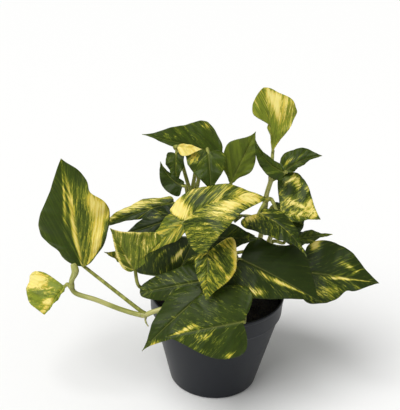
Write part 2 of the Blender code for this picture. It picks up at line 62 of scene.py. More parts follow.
# The pot and its filling, as the solids have them
POT_HEIGHT = 90.0
RIM_RADIUS = 60.0
BAND_HEIGHT = 17.5
BODY_TOP_RADIUS = 57.2
BASE_RADIUS = 39.5
WALL = 1.3
FOOT_WIDTH = 6.0
FOOT_HEIGHT = 2.0
DRAIN_HOLES = 6
DRAIN_RADIUS = 4.0
DRAIN_RING = 23.75
SOIL_TOP = 83.0
SOIL_MOUND = 1.8

# Stems and leaves, as the solids have them
STEM_RADIUS = 2.3
FOOT_RADIUS = 1.9
NECK_RADIUS = 1.3
GAP = 0.35
MIDRIB_STEPS = 48
LOBE_STEPS = 18
LOBE_SPAN = 0.37
VEIN_SPACING = 6.5

# The photograph's camera
PHOTO_WIDTH = 400
FOCAL_PIXELS = 755.0
CAMERA_PLACE = (0.0, -587.1, 431.2)
CAMERA_FORWARD = (-0.0283, 0.9139, -0.4049)
CAMERA_ROLL = 2.3
SENSOR_WIDTH = 36.0

# The stage, in metres and degrees: a wide floor and one broad lamp, up on the left and in front
FLOOR_SIZE = 16.0
LAMP_FROM = (-0.55, -0.5, 1.25)
LAMP_SPREAD = 45

# Each stem: the points of its line, from the buried end up.
STEMS = {
    "stem_left_trailing": [
        (-34, -36, 60), (-34, -36, 87), (-37, -40, 92), (-43, -45, 94.5), (-53, -46, 91), (-62, -45, 87),
        (-79, -45, 91), (-101, -43, 98), (-119, -41, 102.5), (-122, -40, 112), (-119, -38, 121),
        (-121, -36, 127.5),
    ],
    "stem_front_left": [(-22, -10, 60), (-22, -10, 87), (-28, -5, 94), (-36, -1, 101), (-44, 2, 105)],
    "stem_front": [
        (-4, -14, 60), (-4, -14, 87), (-7, -9, 104), (-12, -6, 124), (-15, -9, 142), (-17, -17, 154),
    ],
    "stem_front_right": [(18, -22, 60), (18, -22, 87), (20, -19, 100), (18, -14, 118), (13, -12, 134)],
    "stem_right_tall": [
        (24, 4, 60), (24, 4, 87), (29, 2, 106), (33, 1, 128), (36, 2, 150), (37, 4, 168), (38, 7, 181),
        (41, 10, 194), (41, 12, 204),
    ],
    "stem_right_side": [
        (36, 14, 60), (36, 14, 87), (38, 15, 108), (43, 16, 128), (46, 15, 144), (46, 11, 156),
    ],
    "stem_centre": [(4, 8, 60), (4, 8, 87), (5, 8, 112), (3, 6, 140), (0, 1, 164), (3, -3, 184)],
    "stem_upper_left": [
        (-14, 14, 60), (-14, 14, 87), (-19, 14, 112), (-24, 10, 142), (-25, 8, 168), (-21, 10, 188),
    ],
    "stem_back": [(2, 30, 60), (2, 30, 87), (5, 33, 98), (8, 34, 114), (5, 31, 130)],
}

# The trailing stem ends in a thick sheath round its next leaf and has an air root near the pot.
TRAILING_STEM = "stem_left_trailing"
SHEATH_SWELL = 0.55
SHEATH_PLACE = 0.91
AIR_ROOT = [(-58, -46, 87), (-59, -46, 83), (-58, -45.5, 79), (-56.5, -45, 76)]
AIR_ROOT_RADII = (1.0, 0.8, 0.65, 0.4)


@dataclass
class Leaf:
    """One leaf. Pairs are (left, right) of the midrib, seen from above with the tip away.

    faces is where its upper side looks, as (azimuth, elevation), and via a place that its stalk
    passes. lobe is how far its lobes reach back, belly moves its widest place, full and point shape
    the outline. bend and sway turn the midrib over its length, fold and curl tilt its sides, all in
    degrees. Each bump is (side, along, length, share), side -1 for left and 1 for right: it widens
    the outline there, or narrows it where the share is under 0.

    green runs from 0, deep, to 1, yellow-green; gold is the share of the blade that is pale, and
    cream how light that is. rise is how steeply the streaks run towards the tip. Each mark is
    (across, along, half width, half length, amount): paler where the amount is over 0.
    """

    name: str
    base: tuple
    tip: tuple
    faces: tuple
    half: tuple
    stem: str
    at: float
    via: tuple = None
    lobe: tuple = (0.1, 0.1)
    belly: tuple = (0.6, 0.6)
    full: tuple = (1.0, 1.0)
    point: float = 0.4
    bend: float = 18.0
    sway: float = 0.0
    fold: tuple = (10.0, 10.0)
    curl: tuple = (-12.0, -12.0)
    wave: float = 1.5
    waves: float = 3.0
    uneven: float = 0.05
    phase: float = 0.0
    bumps: tuple = ()
    green: float = 0.2
    gold: float = 0.1
    cream: float = 0.3
    rise: float = 1.0
    quilt: float = 0.3
    marks: tuple = ()


# The leaves that the camera sees, then the six behind the plant
LEAVES = [
    Leaf("leaf_left_large", (-115, -24, 119), (-136, 0, 207), (-5, 20), (31, 30), "stem_left_trailing",
         0.42, lobe=(0, 0), belly=(0.85, 0.95), full=(0.9, 0.9), point=0.1, bend=10, sway=-10,
         fold=(14, 14), curl=(-14, -14), wave=2.2, uneven=0.09, phase=1, bumps=((-1, 0.25, 0.11, -0.3),
         (1, 0.72, 0.07, -0.26), (1, 0.92, 0.06, 0.25), (1, 0.12, 0.1, -0.14)), green=0.3, gold=0.2,
         cream=0.2, rise=3.2, marks=((-0.65, 0.5, 0.4, 0.6, -0.5), (-0.08, 0.42, 0.05, 0.34, 0.9),
         (-0.3, 0.74, 0.06, 0.2, 0.6), (0.02, 0.75, 0.06, 0.15, 0.6), (0.62, 0.36, 0.2, 0.26, 0.95),
         (0.85, 0.62, 0.2, 0.1, 0.7), (0.35, 0.6, 0.12, 0.12, -0.15), (1, 0.2, 0.12, 0.2, -0.9),
         (0.8, 0.9, 0.5, 0.12, -0.4))),
    Leaf("leaf_left_small", (-129, -37, 106), (-144, -50, 85), (-10, 40), (3, 30), "stem_left_trailing",
         0.8, lobe=(0, 0), belly=(0.6, 0.55), full=(1, 0.6), point=-0.4, bend=25,
         bumps=((1, 0.65, 0.25, 0.14), (1, 0.1, 0.1, -0.12)), green=0.95, gold=0.2, cream=0.55,
         rise=0.6, marks=((0.85, 0.45, 0.35, 0.4, 0.9), (0.1, 0.8, 0.3, 0.2, 0.6),
         (0.6, 0.8, 0.3, 0.2, -0.5))),
    Leaf("leaf_left_back_striped", (-42, 20, 163), (-112, 15, 135), (-30, 42), (7, 12),
         "stem_upper_left", 0.76, lobe=(0.04, 0.04), belly=(0.7, 0.6), point=0.2, bend=25,
         fold=(14, 14), bumps=((1, 0.75, 0.2, 0.2), (1, 0.2, 0.2, -0.35)), green=0.15, cream=0.8,
         rise=2.5, marks=((0.8, 0.6, 0.45, 0.5, 0.55), (-0.5, 0.5, 0.5, 0.6, -0.3))),
    Leaf("leaf_left_inner_dark", (-37, 0, 158), (-84, -12, 144), (-10, 45), (12, 15), "stem_upper_left",
         0.62, lobe=(0, 0), belly=(0.7, 0.55), point=0.3, bend=10, green=0, gold=-0.15, rise=2,
         marks=((0.6, 0.45, 0.25, 0.15, 0.35),)),
    Leaf("leaf_left_drooping", (-69, -42, 128), (-87, -52, 170), (5, 30), (8, 36), "stem_front_left",
         0.8, via=(-65, -27, 103), lobe=(0, 0), belly=(0.6, 0.8), point=0.3, bend=-14, fold=(16, 16),
         curl=(-8, -8), bumps=((1, 0.9, 0.08, -0.32), (1, 0.2, 0.18, -0.55)), green=0.7, gold=0.16,
         cream=0.9, rise=2, marks=((-0.1, 0.4, 0.1, 0.3, 0.7), (0.6, 0.5, 0.15, 0.2, 0.35),
         (-0.9, 0.5, 0.15, 0.5, 0.8), (1, 0.85, 0.15, 0.2, 0.6))),
    Leaf("leaf_left_band", (-24, -14, 166), (-65, -30, 134), (-15, 50), (9, 15), "stem_upper_left", 0.5,
         lobe=(0, 0), belly=(0.7, 0.7), point=0.3, bend=6, green=0.6, gold=0.3, cream=0.1, rise=2),
    Leaf("leaf_left_low_back", (-80, 6, 107), (-101, 0, 121), (-20, 50), (3, 10), "stem_front_left", 1,
         point=0.3, bend=16, green=0.6, gold=0.3, cream=0.6),
    Leaf("leaf_centre_left_broad", (-36, -18, 109), (-20, -20, 153), (-5, 35), (38, 25), "stem_front",
         0.45, lobe=(0.42, 0.04), belly=(0.55, 0.6), full=(0.8, 0.8), bend=-6, green=0.1, gold=-0.16,
         cream=0.85, rise=1.6, marks=((-0.25, 0.6, 0.09, 0.22, 1), (-0.6, 0.5, 0.04, 0.3, 0.55),
         (-0.8, 0.5, 0.03, 0.3, 0.5), (0.5, 0.5, 0.3, 0.3, 0.2))),
    Leaf("leaf_left_low", (-8, -38, 120), (-65, -36, 103), (-10, 38), (12, 16), "stem_front", 0.35,
         lobe=(0, 0), belly=(0.8, 0.7), full=(0.7, 0.7), point=-0.3, bend=14, fold=(4, 4), gold=-0.06,
         cream=0.6, marks=((0.5, 0.74, 0.2, 0.1, 0.3), (0.2, 0.4, 0.5, 0.2, 0.12))),
    Leaf("leaf_centre_cream", (-30, -42, 174), (37, -36, 195), (5, 50), (19, 31), "stem_front", 1,
         lobe=(0.12, 0.18), belly=(0.5, 0.6), full=(0.9, 0.85), point=0.2, bend=60, sway=40, wave=2,
         green=0.22, gold=0.26, cream=0.6, rise=1.8, marks=((-0.55, 0.2, 0.4, 0.1, 1.5),
         (0.4, 0.74, 0.3, 0.2, 0.6), (-0.3, 0.88, 0.5, 0.1, 0.7), (-0.45, 0.4, 0.3, 0.08, -0.45),
         (0.1, 0.45, 0.4, 0.15, -0.1), (1, 0.75, 0.25, 0.1, -0.1))),
    Leaf("leaf_centre_gold", (-9, -52, 153), (-8, -71, 120), (10, 30), (25, 10), "stem_front_right",
         0.7, lobe=(0.48, 0.05), belly=(0.62, 0.7), point=0.2, bend=20, fold=(6, 6), green=0.3,
         gold=0.24, cream=0.05, quilt=0.5, marks=((-1, 0.3, 0.12, 0.35, 0.9), (0.6, 0.8, 0.4, 0.2, 0.2))),
    Leaf("leaf_front_large", (22, -72, 103), (-39, -80, 90), (0, 36), (28, 32), "stem_front_right",
         0.26, via=(23, -50, 101), lobe=(0.06, 0.3), belly=(0.6, 0.75), full=(0.85, 0.85), point=0.3,
         bend=24, fold=(4, 4), curl=(-14, -14), green=0.22, gold=-0.13, cream=0.45, rise=1.2,
         marks=((0.2, 0.8, 0.14, 0.1, 0.6), (-0.35, 0.63, 0.18, 0.09, 0.4), (-0.9, 0.68, 0.2, 0.1, 0.4),
         (0.12, 0.92, 0.15, 0.08, 0.6), (-0.9, 0.35, 0.12, 0.06, 0.55), (0, 0.72, 0.6, 0.16, 0.32))),
    Leaf("leaf_front_left_dark", (-11, -50, 114), (-59, -70, 68), (-25, 36), (21, 19), "stem_front",
         0.15, lobe=(0.06, 0.06), belly=(0.6, 0.8), bend=24, fold=(4, 4), green=0.18, gold=-0.1,
         rise=1.6, marks=((-1, 0.85, 0.35, 0.08, 0.6),)),
    Leaf("leaf_right_low_dark", (18, -31, 138), (85, -42, 108), (5, 45), (42, 27), "stem_front_right",
         0.92, lobe=(0.04, 0.14), belly=(0.82, 0.56), full=(0.8, 0.9), point=0.3, bend=24, fold=(6, 6),
         bumps=((-1, 0.36, 0.2, -0.4),), green=0.08, gold=-0.1, cream=0.6, rise=2.2,
         marks=((0.22, 0.72, 0.12, 0.22, 0.8), (0.8, 0.44, 0.15, 0.1, 0.7), (0.16, 0.4, 0.1, 0.2, 0.35),
         (-0.5, 0.5, 0.45, 0.5, -0.3))),
    Leaf("leaf_right_outer", (77, -4, 114), (142, -2, 106), (5, 45), (33, 26), "stem_right_side", 0.42,
         belly=(0.66, 0.56), full=(0.9, 0.9), point=0.3, bend=20, fold=(8, 8),
         bumps=((1, 0.62, 0.07, -0.25),), green=0.1, gold=-0.06, cream=0.6, rise=1.8,
         marks=((0.14, 0.68, 0.09, 0.24, 0.95), (-0.45, 0.68, 0.12, 0.12, 0.55),
         (0.65, 0.42, 0.3, 0.2, 0.4), (-0.85, 0.26, 0.2, 0.06, 0.9), (-0.6, 0.45, 0.3, 0.12, -0.2))),
    Leaf("leaf_right_back_thin", (59, 26, 129), (103, 38, 132), (10, 72), (10, 10), "stem_right_side",
         0.62, lobe=(0, 0), point=0.2, bend=10, green=0.4),
    Leaf("leaf_centre_low_dark", (-10, -20, 150), (33, -34, 159), (10, 40), (15, 14),
         "stem_front_right", 1, lobe=(0, 0), point=0.2, bend=16, green=0.1, gold=-0.1),
    Leaf("leaf_right_hanging_long", (32, -20, 175), (71, -42, 149), (30, 45), (11, 17),
         "stem_right_tall", 0.66, lobe=(0.05, 0.3), point=0.6, bend=40, sway=20, curl=(-14, -14),
         bumps=((-1, 0.5, 0.2, 0.25),), green=0.12, gold=-0.02, marks=((0.5, 0.15, 0.4, 0.15, 0.7),
         (0, 0.6, 0.05, 0.5, 0.35), (-0.4, 0.15, 0.3, 0.12, 0.4))),
    Leaf("leaf_right_hanging_small", (58, -4, 167), (65, -14, 150), (15, 25), (12, 11),
         "stem_right_side", 1, point=0.2, bend=26, green=0.1, gold=-0.05),
    Leaf("leaf_right_striped", (50, -12, 172), (83, -14, 170), (15, 40), (40, 6), "stem_right_tall",
         0.72, lobe=(0.28, 0), belly=(0.62, 0.6), full=(0.85, 1), bend=16, green=0.3, gold=0.2,
         cream=0.7, rise=0.7, marks=((-0.8, 0.44, 0.14, 0.12, 0.7), (-0.6, 0.78, 0.3, 0.1, 0.6),
         (-0.3, 0.6, 0.08, 0.3, 0.5), (-0.57, 0.38, 0.12, 0.1, -0.4), (-0.95, 0.1, 0.3, 0.12, -0.6),
         (-0.7, 0.6, 0.1, 0.08, -0.5), (-0.05, 0.6, 0.12, 0.3, 0.3))),
    Leaf("leaf_right_upper", (52, 9, 202), (82, 11, 217), (0, 45), (13, 5), "stem_right_tall", 0.92,
         lobe=(0.04, 0), belly=(0.7, 0.7), full=(0.9, 0.9), point=0.3, bend=26, sway=35, fold=(14, 14),
         bumps=((-1, 0.8, 0.12, 0.2),), green=0.3, gold=-0.1, rise=2,
         marks=((-0.38, 0.42, 0.12, 0.2, 0.5),)),
    Leaf("leaf_right_bud", (44, 8, 170), (56, 7, 171), (0, 50), (4, 4), "stem_right_tall", 0.6,
         lobe=(0, 0), point=0.2, bend=6, wave=0.3, green=0.3, gold=0),
    Leaf("leaf_top_folded", (50, -8, 208), (24, -7, 236), (-25, 30), (9, 5), "stem_right_tall", 0.95,
         lobe=(0.05, 0), belly=(0.5, 0.7), full=(0.8, 1), bend=-8, sway=60, fold=(20, 20), green=0.42,
         gold=-0.25),
    Leaf("leaf_top_gold", (41, 14, 218), (30, 26, 269), (5, 20), (12.5, 24), "stem_right_tall", 1,
         lobe=(0, 0), belly=(2, 1.7), point=-0.3, bend=0, sway=-6, fold=(8, 8), curl=(-8, -8),
         bumps=((-1, 0.34, 0.14, -0.88), (-1, 0.53, 0.08, -0.9), (1, 0.92, 0.08, -0.25),
         (1, 0.6, 0.06, 0.08)), green=0.85, gold=0.3, cream=0.45, rise=3,
         marks=((0.5, 0.88, 0.4, 0.15, 0.7), (0.35, 0.72, 0.1, 0.2, 0.6),
         (-0.38, 0.74, 0.25, 0.15, -0.3), (0.18, 0.4, 0.3, 0.25, -0.3))),
    Leaf("leaf_top_centre", (7, -6, 195), (25, 3, 238), (5, 30), (16, 12), "stem_centre", 1,
         lobe=(0, 0), belly=(0.9, 0.9), point=0.3, bend=10, fold=(12, 12), bumps=((1, 0.15, 0.2, -0.6),
         (-1, 0.1, 0.12, -0.3), (-1, 0.75, 0.15, 0.35)), green=0.66, gold=-0.2, cream=0.2, rise=1.4),
    Leaf("leaf_top_left", (-2, 18, 210), (-69, 8, 229), (-10, 48), (10, 29), "stem_upper_left", 1,
         lobe=(0.08, 0), belly=(0.6, 0.55), full=(1, 0.9), bend=14, fold=(8, 8),
         bumps=((1, 0.08, 0.14, -0.45),), green=0.42, gold=-0.12, rise=1.4,
         marks=((0.4, 0.78, 0.3, 0.1, 0.3), (0.85, 0.35, 0.14, 0.06, 0.6), (1, 0.57, 0.1, 0.05, 0.4),
         (-0.3, 0.4, 0.5, 0.4, -0.2))),
    Leaf("leaf_upper_left_gold", (-38, -8, 226), (-18, -10, 225), (-5, 40), (2.5, 8), "stem_upper_left",
         0.88, via=(-24, 0, 209), lobe=(0, 0), belly=(0.8, 0.8), point=0.2, bend=6, wave=0.4, green=0.9,
         gold=1.2, cream=0.15),
    Leaf("leaf_upper_left_hanging", (-40, 4, 215), (-38, -4, 190), (-20, 20), (8, 9), "stem_upper_left",
         0.94, point=0.3, bend=26, green=0.35, gold=-0.1, marks=((-0.1, 0.6, 0.08, 0.4, 0.4),)),
    Leaf("leaf_upper_left_outer", (-33, -12, 193), (-52, -6, 211), (-10, 35), (11, 4),
         "stem_upper_left", 0.7, full=(0.8, 1), bend=-40, sway=50, green=0.22, gold=-0.2),
    Leaf("leaf_centre_hanging", (-13, -6, 221), (-9, -22, 194), (5, 30), (14, 18), "stem_centre", 0.9,
         lobe=(0.1, 0.25), full=(0.8, 0.8), point=0.3, bend=30, green=0.4, gold=-0.1, cream=0.1,
         marks=((-1, 0.65, 0.2, 0.2, 0.4), (0.7, 0.3, 0.3, 0.12, 0.6))),
    Leaf("leaf_back_left", (-30, 42, 118), (-74, 66, 92), (205, 50), (25, 25), "stem_back", 0.7,
         bend=34, green=0.3, gold=0.22, cream=0.4, rise=1.4),
    Leaf("leaf_back_middle", (6, 54, 120), (10, 96, 80), (180, 40), (26, 26), "stem_back", 0.86,
         bend=34, green=0.45, gold=0.3, cream=0.5, rise=1.4),
    Leaf("leaf_back_right", (42, 42, 116), (86, 62, 88), (150, 50), (25, 25), "stem_back", 0.6, bend=34,
         green=0.15, gold=0.15, cream=0.5, rise=1.4),
    Leaf("leaf_back_upper", (8, 36, 146), (14, 72, 122), (175, 55), (22, 22), "stem_back", 1, bend=34,
         green=0.3, gold=0.2, cream=0.4, rise=1.4),
    Leaf("leaf_back_upper_left", (-30, 30, 142), (-68, 50, 128), (215, 60), (17, 17), "stem_upper_left",
         0.55, bend=30, green=0.5, gold=0.5, cream=0.5, rise=1.4),
    Leaf("leaf_back_upper_right", (54, 28, 156), (86, 50, 146), (150, 60), (15, 15), "stem_right_side",
         0.88, bend=30, green=0.3, gold=0.2, cream=0.4, rise=1.4),
]


def linear(value):
    """An sRGB hex colour as linear red, green, blue and alpha."""
    parts = [(value >> shift & 255) / 255 for shift in (16, 8, 0)]
    parts = [part / 12.92 if part <= 0.04045 else ((part + 0.055) / 1.055) ** 2.4 for part in parts]
    return (*parts, 1.0)


def colour(name, text, value):
    return FloatVectorProperty(name=name, description=text, subtype="COLOR", size=4, min=0, max=1,
                               default=linear(value))


def length(name, text, millimetres, low=0.0, high=200.0):
    return FloatProperty(name=name, description=text, default=millimetres * MM, min=low * MM,
                         max=high * MM, unit="LENGTH", precision=5)


class PotSettings(bpy.types.PropertyGroup):
    plastic: colour("Plastic", "The moulded pot's colour", 0x090F18)
    lip: length("Lip rounding", "How round the pot's top edge is", 0.6, 0.1, 0.65)
    steps: IntProperty(name="Steps", description="Faces round the pot", default=144, min=24, max=360)


class SoilSettings(bpy.types.PropertyGroup):
    dark: colour("Wet peat", "The darkest crumbs", 0x0C0B0A)
    light: colour("Dry fibre", "The lightest crumbs", 0x3A2E24)
    crumbs: IntProperty(name="Crumbs", description="Loose crumbs on the surface", default=1500, max=4000)
    crumb: length("Crumb size", "The middle size of a crumb", 1.1, 0.2, 4)


class StemSettings(bpy.types.PropertyGroup):
    skin: colour("Stem skin", "Fresh stem and leaf stalk", 0xA0A254)
    shade: colour("Older skin", "The darker streaks along a stem", 0x74782F)
    pale: colour("Pale stripe", "The cream streaks along a stem", 0xC9C183)
    swelling: FloatProperty(name="Node swelling", description="How much a stem widens at a leaf",
                            default=0.24, min=0, max=1)


class LeafSettings(bpy.types.PropertyGroup):
    deep: colour("Deep green", "The darkest leaves", 0x1F2C08)
    fresh: colour("Fresh green", "The middle leaves", 0x455510)
    lime: colour("Yellow-green", "The lightest leaves", 0x84902A)
    golden: colour("Golden", "Warm variegation", 0xCFB63A)
    creamy: colour("Cream", "Pale variegation", 0xEEDF86)
    thickness: length("Blade thickness", "Thickness of the blade away from the midrib", 0.5, 0.1, 1.2)
    columns: IntProperty(name="Columns", description="Faces across a blade", default=44, min=8, max=80)
    rows: IntProperty(name="Rows", description="Faces along a blade", default=72, min=8, max=120)


class StageSettings(bpy.types.PropertyGroup):
    floor: colour("Floor", "The pale floor", 0xF7F7F6)
    sky: FloatProperty(name="Soft light", description="Light from all round", default=0.38, min=0, max=3)
    sun: FloatProperty(name="Key light", description="Wide light from the upper left", default=2.6,
                       min=0, max=10)


SMOOTH = {"interpolation_type": "SMOOTHSTEP"}
PER_METRE = 1 / MM


def feed(tree, node, inputs):
    """Gives a node's inputs, by name or in order, their values or links to other nodes' outputs."""
    for key, value in inputs.items() if isinstance(inputs, dict) else enumerate(inputs):
        if isinstance(value, bpy.types.NodeSocket):
            tree.links.new(value, node.inputs[key])
        else:
            node.inputs[key].default_value = value


def add_node(tree, kind, inputs=(), output=0, **settings):
    """Adds a node with its settings, feeds its inputs and gives one of its outputs."""
    node = tree.nodes.new("ShaderNode" + kind)
    for key, value in settings.items():
        setattr(node, key, value)
    feed(tree, node, inputs)
    return node.outputs[output]


def new_material(name):
    made = bpy.data.materials.new(name)
    made.use_nodes = True
    return made, made.node_tree, made.node_tree.nodes["Principled BSDF"]


def patterns(tree, vector, per_unit, *sizes):
    """Noise patterns, each from (feature size in mm along each axis, detail, roughness).

    per_unit is how many mm the vector's unit has: 1 for the attributes in mm, PER_METRE for
    Object coordinates.
    """
    made = []
    for size, detail, rough in sizes:
        scale = [per_unit / span for span in size]
        mapped = add_node(tree, "Mapping", {"Vector": vector, "Scale": scale})
        noise_inputs = {"Vector": mapped, "Scale": 1.0, "Detail": detail, "Roughness": rough}
        made.append(add_node(tree, "TexNoise", noise_inputs, "Fac"))
    return made


def layered(tree, ground, layers):
    """Lays colours over the ground, one after another, each as (share, colour)."""
    for share, over in layers:
        inputs = {"Factor": share, "A": ground, "B": over}
        ground = add_node(tree, "Mix", inputs, "Result", data_type="RGBA")
    return ground


def waxy_leaf(settings, stems):
    """Waxy variegated leaf: smooth cuticle with a soft gloss, pale sectors that run along the veins.

    The streak attribute holds (distance from the midrib, place along the veins, leaf number) in mm.
    """
    made, tree, shader = new_material("waxy_variegated_leaf")
    green, cream, pale, rib, under, blade = (
        add_node(tree, "Attribute", (), "Fac", attribute_name=name)
        for name in ("green", "cream", "pale", "rib", "under", "blade")
    )
    streak = add_node(tree, "Attribute", (), "Vector", attribute_name="streak")
    # The streaks wander a few millimetres aside, within 6 mm or so, as the real ones do.
    wander = add_node(tree, "TexNoise", {"Vector": streak, "Scale": 0.16, "Detail": 2.0}, "Color")
    wander = add_node(tree, "VectorMath", (wander, (9, 7, 0), (-4.5, -3.5, 0)), operation="MULTIPLY_ADD")
    streak = add_node(tree, "VectorMath", (streak, wander), operation="ADD")
    broad, blotch, fleck, clouds = patterns(
        tree, streak, 1, ((24, 7, 1), 2, 0.5), ((5, 2, 1), 3, 0.6), ((1.6, 1.1, 1), 2, 0.6),
        ((14, 6, 1), 3, 0.5))
    warm, gloss, cells = patterns(
        tree, streak, 1, ((18, 4, 0.5), 2, 0.5), ((5, 5, 1), 2, 0.5), ((0.7, 0.7, 1), 2, 0.5))
    value = pale
    for pattern, weight in ((broad, 1.2), (blotch, 1.5), (fleck, 1.0)):
        value = add_node(tree, "Math", (pattern, weight, value), operation="MULTIPLY_ADD")
    value = add_node(tree, "Math", (value, 1.85), operation="SUBTRACT")

    fresh, lime = (add_node(tree, "MapRange", (green, low, low + 0.5)) for low in (0.0, 0.5))
    green = layered(tree, settings.deep, [(fresh, settings.fresh), (lime, settings.lime)])
    darker = add_node(tree, "MapRange", (clouds, 0.62, 0.38, 0.0, 0.45), **SMOOTH)
    ground = layered(tree, green, [(darker, settings.deep)])
    lighter = layered(tree, green, [(0.4, settings.lime)])
    half_pale = layered(tree, settings.lime, [(0.35, settings.golden)])
    warm = add_node(tree, "MapRange", (warm, 0.36, 0.64, 0.0, 0.6), **SMOOTH)
    palest = add_node(tree, "MapRange", (value, 0.6, 1.1, -0.4, 0.2), **SMOOTH)
    warm = add_node(tree, "Math", (warm, palest), operation="ADD")
    warm = add_node(tree, "Math", (warm, cream), operation="ADD")
    light = layered(tree, settings.golden, [(warm, settings.creamy)])
    pale_edge, pale_middle, pale_heart = (
        add_node(tree, "MapRange", (value, low, high), **SMOOTH)
        for low, high in ((0.02, 0.3), (0.3, 0.44), (0.46, 0.64))
    )
    face = layered(tree, ground, [
        (pale_edge, lighter),
        (pale_middle, half_pale),
        (pale_heart, light),
        (add_node(tree, "Math", (rib, 0.3), operation="MULTIPLY"), stems.skin),
        (add_node(tree, "Math", (under, 0.45), operation="MULTIPLY"), linear(0x8E9A6A)),
    ])

    place = add_node(tree, "TexCoord", (), "Object")
    [grain] = patterns(tree, place, PER_METRE, ((3.85, 3.85, 16.7), 3, 0.5))
    grain = add_node(tree, "MapRange", (grain, 0.35, 0.65), **SMOOTH)
    stalk = layered(tree, stems.shade, [(grain, stems.skin)])
    rough = add_node(tree, "MapRange", {"Value": gloss, "To Min": 0.38, "To Max": 0.56})
    rough = add_node(tree, "Math", (under, 0.15, rough), operation="MULTIPLY_ADD")
    height = add_node(tree, "Math", (blotch, 2.0, cells), operation="MULTIPLY_ADD")
    feed(tree, shader, {
        "Base Color": layered(tree, stalk, [(blade, face)]),
        "Roughness": rough,
        "Normal": add_node(tree, "Bump", {"Height": height, "Strength": 0.25, "Distance": 0.0001}),
        "IOR": 1.38,
        "Specular IOR Level": 0.25,
        "Coat Weight": 0.02,
        "Coat Roughness": 0.22,
        "Subsurface Weight": 0.12,
        "Subsurface Radius": (0.6, 1.0, 0.2),
        "Subsurface Scale": 0.0015,
    })
    return made


def fresh_stem(settings):
    """Fresh vine skin: smooth and juicy, with fine lengthwise streaks from pale cream to olive."""
    made, tree, shader = new_material("fresh_vine_skin")
    along = add_node(tree, "Attribute", (), "Vector", attribute_name="streak")
    scar = add_node(tree, "Attribute", (), "Fac", attribute_name="scar")
    [lines] = patterns(tree, along, 1, ((0.9, 26, 1), 3, 0.5))
    tint = layered(tree, settings.shade, [
        (add_node(tree, "MapRange", (lines, 0.3, 0.52)), settings.skin),
        (add_node(tree, "MapRange", (lines, 0.52, 0.72)), settings.pale),
        (scar, linear(0x6B5B33)),
    ])
    feed(tree, shader, {
        "Base Color": tint,
        "Roughness": 0.42,
        "Normal": add_node(tree, "Bump", {"Height": lines, "Strength": 0.3, "Distance": 0.0002}),
        "Coat Weight": 0.1,
        "Subsurface Weight": 0.15,
        "Subsurface Radius": (0.8, 1.0, 0.3),
        "Subsurface Scale": 0.002,
    })
    return made


def moulded_plastic(settings):
    """Thin injection-moulded polypropylene: satin, with a faint orange-peel and dusty scuffs."""
    made, tree, shader = new_material("moulded_polypropylene")
    place = add_node(tree, "TexCoord", (), "Object")
    drift, scuffs, peel = patterns(
        tree, place, PER_METRE, ((33.3, 33.3, 111), 3, 0.5), ((6.25, 6.25, 1.11), 4, 0.65),
        ((0.667, 0.667, 0.667), 2, 0.5))
    dusty = add_node(tree, "MapRange", (drift, 0.45, 0.75), **SMOOTH)
    scuffs = add_node(tree, "MapRange", (scuffs, 0.5, 0.75), **SMOOTH)
    dust = add_node(tree, "Math", (dusty, scuffs), operation="MULTIPLY")
    thin_dust = add_node(tree, "Math", (dust, 0.1), operation="MULTIPLY")
    rough = add_node(tree, "Math", (drift, 0.16, 0.34), operation="MULTIPLY_ADD")
    feed(tree, shader, {
        "Base Color": layered(tree, settings.plastic, [(thin_dust, linear(0x7C8288))]),
        "Roughness": add_node(tree, "Math", (dust, 0.2, rough), operation="MULTIPLY_ADD"),
        "Normal": add_node(tree, "Bump", {"Height": peel, "Strength": 0.12, "Distance": 0.0001}),
        "IOR": 1.49,
        "Specular IOR Level": 0.3,
    })
    return made


def moist_peat(settings):
    """Moist sphagnum peat: nearly black where wet, brown fibres where it has dried, no gloss."""
    made, tree, shader = new_material("moist_peat")
    place = add_node(tree, "TexCoord", (), "Object")
    patches, grains = patterns(
        tree, place, PER_METRE, ((11.1, 11.1, 11.1), 3, 0.5), ((1.11, 1.11, 1.11), 4, 0.6))
    patches = add_node(tree, "MapRange", (patches, 0.35, 0.75), **SMOOTH)
    fibres = add_node(tree, "MapRange", (grains, 0.4, 0.75), **SMOOTH)
    dry = add_node(tree, "Math", (patches, fibres), operation="MULTIPLY")
    feed(tree, shader, {
        "Base Color": layered(tree, settings.dark, [(dry, settings.light)]),
        "Roughness": 0.95,
        "Normal": add_node(tree, "Bump", {"Height": grains, "Strength": 0.8, "Distance": 0.0004}),
        "Specular IOR Level": 0.25,
    })
    return made


def matt_paper(settings):
    """Matt white background paper: even, with fibres too faint to see from a step away."""
    made, tree, shader = new_material("matt_background_paper")
    place = add_node(tree, "TexCoord", (), "Object")
    [fibres] = patterns(tree, place, PER_METRE, ((2.5, 2.5, 2.5), 2, 0.5))
    shaded = (*(part * 0.985 for part in settings.floor[:3]), 1.0)
    feed(tree, shader, {
        "Base Color": layered(tree, shaded, [(fibres, settings.floor)]),
        "Roughness": 0.9,
        "Specular IOR Level": 0.1,
    })
    return made


def deselect():
    if bpy.context.mode != "OBJECT":
        bpy.ops.object.mode_set(mode="OBJECT")
    bpy.ops.object.select_all(action="DESELECT")


def pick(*objects):
    """Selects these objects alone; the first is the active one."""
    deselect()
    for obj in objects:
        obj.select_set(True)
    bpy.context.view_layer.objects.active = objects[0]


def points_of(obj):
    places = np.empty(len(obj.data.vertices) * 3)
    obj.data.vertices.foreach_get("co", places)
    return places.reshape(-1, 3)


def move_points(obj, places):
    """Puts the mesh's points at these places, in metres."""
    obj.data.vertices.foreach_set("co", np.asarray(places, float).ravel())
    obj.data.update()


def store(obj, name, values):
    """Keeps a number or a vector for each point, for the materials."""
    values = np.asarray(values, np.float32)
    kind = "FLOAT_VECTOR" if values.ndim == 2 else "FLOAT"
    attribute = obj.data.attributes.new(name, kind, "POINT")
    attribute.data.foreach_set("vector" if values.ndim == 2 else "value", values.ravel())


